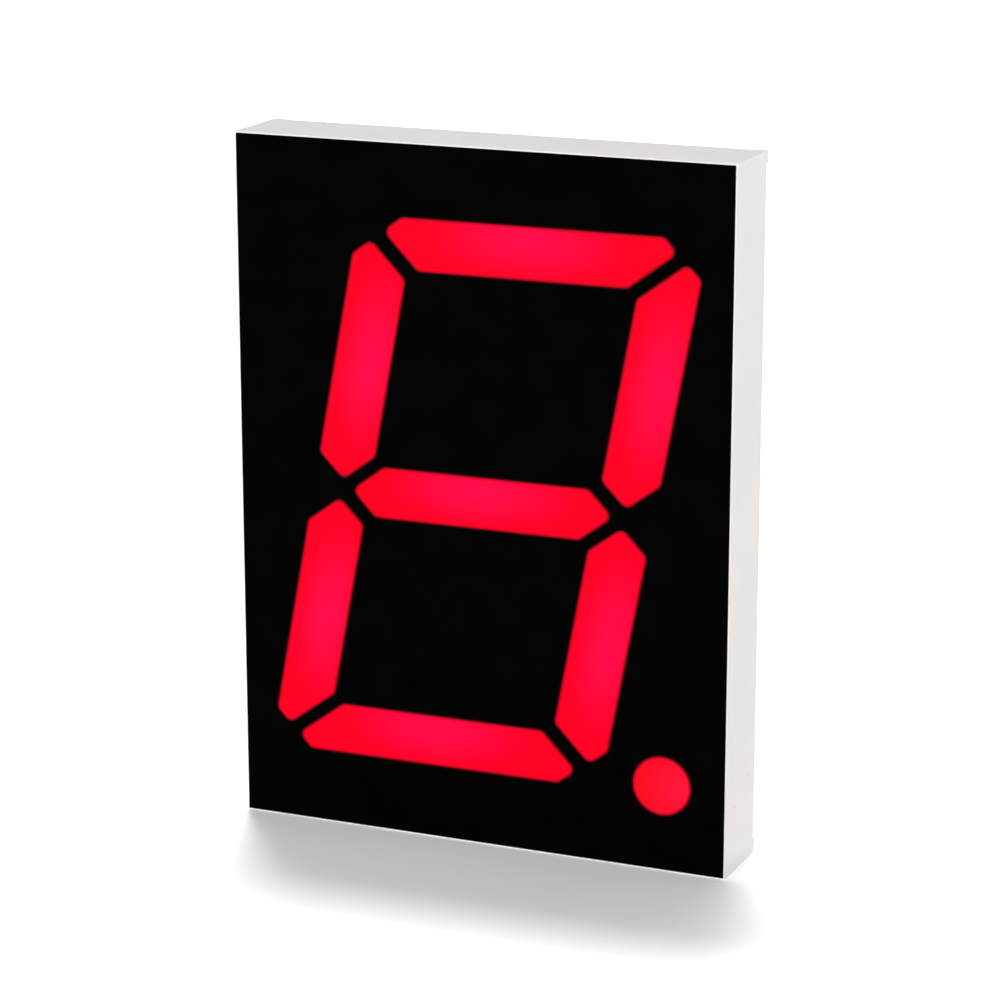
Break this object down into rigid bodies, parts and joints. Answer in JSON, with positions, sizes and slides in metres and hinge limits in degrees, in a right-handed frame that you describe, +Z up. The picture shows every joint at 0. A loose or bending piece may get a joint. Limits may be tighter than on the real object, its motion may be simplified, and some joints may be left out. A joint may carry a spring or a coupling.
{
  "type": "seven segment display",
  "caption": "Single digit seven segment LED display with slanted red segments, a decimal point, a white housing and two rows of rear pins.",
  "frame": {"origin": "middle of the housing's bottom face, on which the display stands", "axes": "+X to the right across the face, +Y from the face towards the pins, +Z up the digit"},
  "size_m": [0.09, 0.0215, 0.122],
  "materials": {
    "housing_white": "fine matte moulded, white",
    "mask_black": "matte black ink",
    "diffuser_red": "milky cast resin, lit red",
    "board_green": "green solder mask on glass epoxy",
    "solder": "bright solder",
    "pin_tinned": "tinned wire",
    "lamp_body": "white moulded package"
  },
  "bodies": {
    "root": {"housing": "housing_white", "face_mask": "mask_black", "segment_a": "diffuser_red", "segment_b": "diffuser_red", "segment_c": "diffuser_red", "segment_d": "diffuser_red", "segment_e": "diffuser_red", "segment_f": "diffuser_red", "segment_g": "diffuser_red", "decimal_point": "diffuser_red", "circuit_board": "board_green", "solder_joints": "solder", "pin_1": "pin_tinned", "pin_2": "pin_tinned", "pin_3": "pin_tinned", "pin_4": "pin_tinned", "pin_5": "pin_tinned", "pin_6": "pin_tinned", "pin_7": "pin_tinned", "pin_8": "pin_tinned", "pin_9": "pin_tinned", "pin_10": "pin_tinned", "lamp_a1": "lamp_body", "lamp_a2": "lamp_body", "lamp_a3": "lamp_body", "lamp_a4": "lamp_body", "lamp_b1": "lamp_body", "lamp_b2": "lamp_body", "lamp_b3": "lamp_body", "lamp_b4": "lamp_body", "lamp_c1": "lamp_body", "lamp_c2": "lamp_body", "lamp_c3": "lamp_body", "lamp_c4": "lamp_body", "lamp_d1": "lamp_body", "lamp_d2": "lamp_body", "lamp_d3": "lamp_body", "lamp_d4": "lamp_body", "lamp_e1": "lamp_body", "lamp_e2": "lamp_body", "lamp_e3": "lamp_body", "lamp_e4": "lamp_body", "lamp_f1": "lamp_body", "lamp_f2": "lamp_body", "lamp_f3": "lamp_body", "lamp_f4": "lamp_body", "lamp_g1": "lamp_body", "lamp_g2": "lamp_body", "lamp_g3": "lamp_body", "lamp_g4": "lamp_body", "lamp_point1": "lamp_body", "lamp_point2": "lamp_body"}
  },
  "joints": []
}
